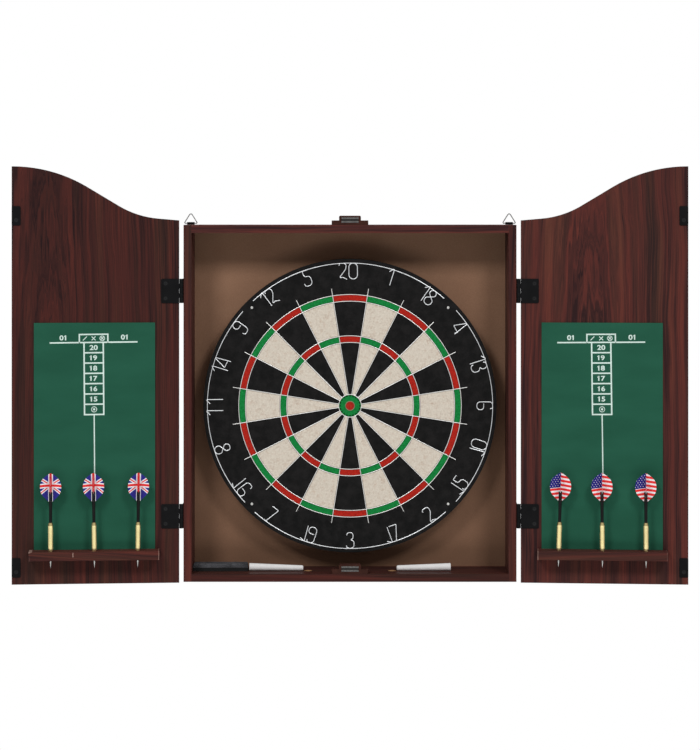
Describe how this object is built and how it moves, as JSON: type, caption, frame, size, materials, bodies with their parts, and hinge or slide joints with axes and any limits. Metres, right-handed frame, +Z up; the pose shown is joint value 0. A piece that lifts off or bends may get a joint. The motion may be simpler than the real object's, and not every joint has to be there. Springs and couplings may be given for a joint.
{
  "type": "dart board cabinet",
  "caption": "Wall cabinet with a bristle dart board behind two camel-back doors that open flat, each with a green score board and a rail of darts.",
  "frame": {"origin": "centre of the back panel's rear face, which lies on the wall", "axes": "+X to the right seen from the front, +Y into the wall, +Z up"},
  "size_m": [1.0178, 0.1341, 0.6284],
  "materials": {
    "cherry_foil": "dark cherry wood-grain foil on fibreboard, satin",
    "hardboard": "brown hardboard, matte",
    "beech": "plain turned beech",
    "black_metal": "black lacquer, satin",
    "brown_plastic": "brown moulded plastic",
    "plain_steel": "bright plain steel",
    "wire": "bright drawn wire",
    "sisal": "pressed sisal fibre ends dyed black, cream, red and green",
    "chipboard": "bare chipboard",
    "score_green": "matt green writing surface with white lines",
    "chalk": "white chalk",
    "black_foam": "black foam block",
    "grey_felt": "grey felt",
    "brass": "turned brass",
    "black_plastic": "black moulded plastic",
    "left_flight_print": "printed film",
    "right_flight_print": "printed film"
  },
  "bodies": {
    "cabinet": {"left_side_panel": "cherry_foil", "right_side_panel": "cherry_foil", "top_panel": "cherry_foil", "bottom_panel": "cherry_foil", "back_panel": "hardboard", "corner_dowels": "beech", "catch_housings": "brown_plastic", "catch_magnet_packs": "plain_steel", "frame_hinge_leaves": "black_metal", "cabinet_screws": "black_metal", "hanger_straps": "black_metal", "board_bracket": "plain_steel"},
    "dart_board": {"sisal_disc": "sisal", "backing_board": "chipboard", "steel_band": "plain_steel", "wire_spider": "wire", "number_ring": "wire", "board_fasteners": "plain_steel"},
    "left_door": {"left_door_panel": "cherry_foil", "left_score_board": "score_green", "left_dart_rail": "cherry_foil", "left_door_leaves": "black_metal", "left_strike_plates": "black_metal", "left_door_screws": "black_metal"},
    "left_dart_1": {"left_dart_1_point": "plain_steel", "left_dart_1_barrel": "brass", "left_dart_1_stem": "black_plastic", "left_dart_1_flight": "left_flight_print"},
    "left_dart_2": {"left_dart_2_point": "plain_steel", "left_dart_2_barrel": "brass", "left_dart_2_stem": "black_plastic", "left_dart_2_flight": "left_flight_print"},
    "left_dart_3": {"left_dart_3_point": "plain_steel", "left_dart_3_barrel": "brass", "left_dart_3_stem": "black_plastic", "left_dart_3_flight": "left_flight_print"},
    "right_door": {"right_door_panel": "cherry_foil", "right_score_board": "score_green", "right_dart_rail": "cherry_foil", "right_door_leaves": "black_metal", "right_strike_plates": "black_metal", "right_door_screws": "black_metal"},
    "right_dart_1": {"right_dart_1_point": "plain_steel", "right_dart_1_barrel": "brass", "right_dart_1_stem": "black_plastic", "right_dart_1_flight": "right_flight_print"},
    "right_dart_2": {"right_dart_2_point": "plain_steel", "right_dart_2_barrel": "brass", "right_dart_2_stem": "black_plastic", "right_dart_2_flight": "right_flight_print"},
    "right_dart_3": {"right_dart_3_point": "plain_steel", "right_dart_3_barrel": "brass", "right_dart_3_stem": "black_plastic", "right_dart_3_flight": "right_flight_print"},
    "left_ring": {"left_hanger_ring": "plain_steel"},
    "right_ring": {"right_hanger_ring": "plain_steel"},
    "left_chalk_stick": {"left_chalk": "chalk"},
    "right_chalk_stick": {"right_chalk": "chalk"},
    "eraser": {"eraser_block": "black_foam", "eraser_felt": "grey_felt"}
  },
  "joints": [
    {"name": "board_lift", "type": "slide", "parent": "cabinet", "child": "dart_board", "axis": [0, 0, 1], "range_m": [0, 0.014]},
    {"name": "left_door_hinge", "type": "hinge", "parent": "cabinet", "child": "left_door", "pos_m": [-0.25465, -0.0845, 0], "axis": [0, 0, -1], "range_deg": [-175.5, 14.5]},
    {"name": "left_dart_1_lift", "type": "slide", "parent": "left_door", "child": "left_dart_1", "axis": [0, 0, 1], "range_m": [0, 0.04]},
    {"name": "left_dart_2_lift", "type": "slide", "parent": "left_door", "child": "left_dart_2", "axis": [-0.0122, -0.001, 0.9999], "range_m": [0, 0.04]},
    {"name": "left_dart_3_lift", "type": "slide", "parent": "left_door", "child": "left_dart_3", "axis": [0.0104, 0.0008, 0.9999], "range_m": [0, 0.04]},
    {"name": "right_door_hinge", "type": "hinge", "parent": "cabinet", "child": "right_door", "pos_m": [0.25465, -0.0845, 0], "axis": [0, 0, 1], "range_deg": [-175.5, 14.5]},
    {"name": "right_dart_1_lift", "type": "slide", "parent": "right_door", "child": "right_dart_1", "axis": [0.027, -0.0021, 0.9996], "range_m": [0, 0.04]},
    {"name": "right_dart_2_lift", "type": "slide", "parent": "right_door", "child": "right_dart_2", "axis": [-0.007, 0.0005, 1], "range_m": [0, 0.04]},
    {"name": "right_dart_3_lift", "type": "slide", "parent": "right_door", "child": "right_dart_3", "axis": [-0.0035, 0.0003, 1], "range_m": [0, 0.04]},
    {"name": "left_ring_swing", "type": "hinge", "parent": "cabinet", "child": "left_ring", "pos_m": [-0.2455, -0.0024, 0.2715], "axis": [1, 0, 0], "range_deg": [-80, 88]},
    {"name": "right_ring_swing", "type": "hinge", "parent": "cabinet", "child": "right_ring", "pos_m": [0.2455, -0.0024, 0.2715], "axis": [1, 0, 0], "range_deg": [-80, 88]},
    {"name": "left_chalk_lift", "type": "slide", "parent": "cabinet", "child": "left_chalk_stick", "axis": [0, 0, 1], "range_m": [0, 0.02]},
    {"name": "right_chalk_lift", "type": "slide", "parent": "cabinet", "child": "right_chalk_stick", "axis": [0, 0, 1], "range_m": [0, 0.02]},
    {"name": "eraser_lift", "type": "slide", "parent": "cabinet", "child": "eraser", "axis": [0, 0, 1], "range_m": [0, 0.02]}
  ]
}
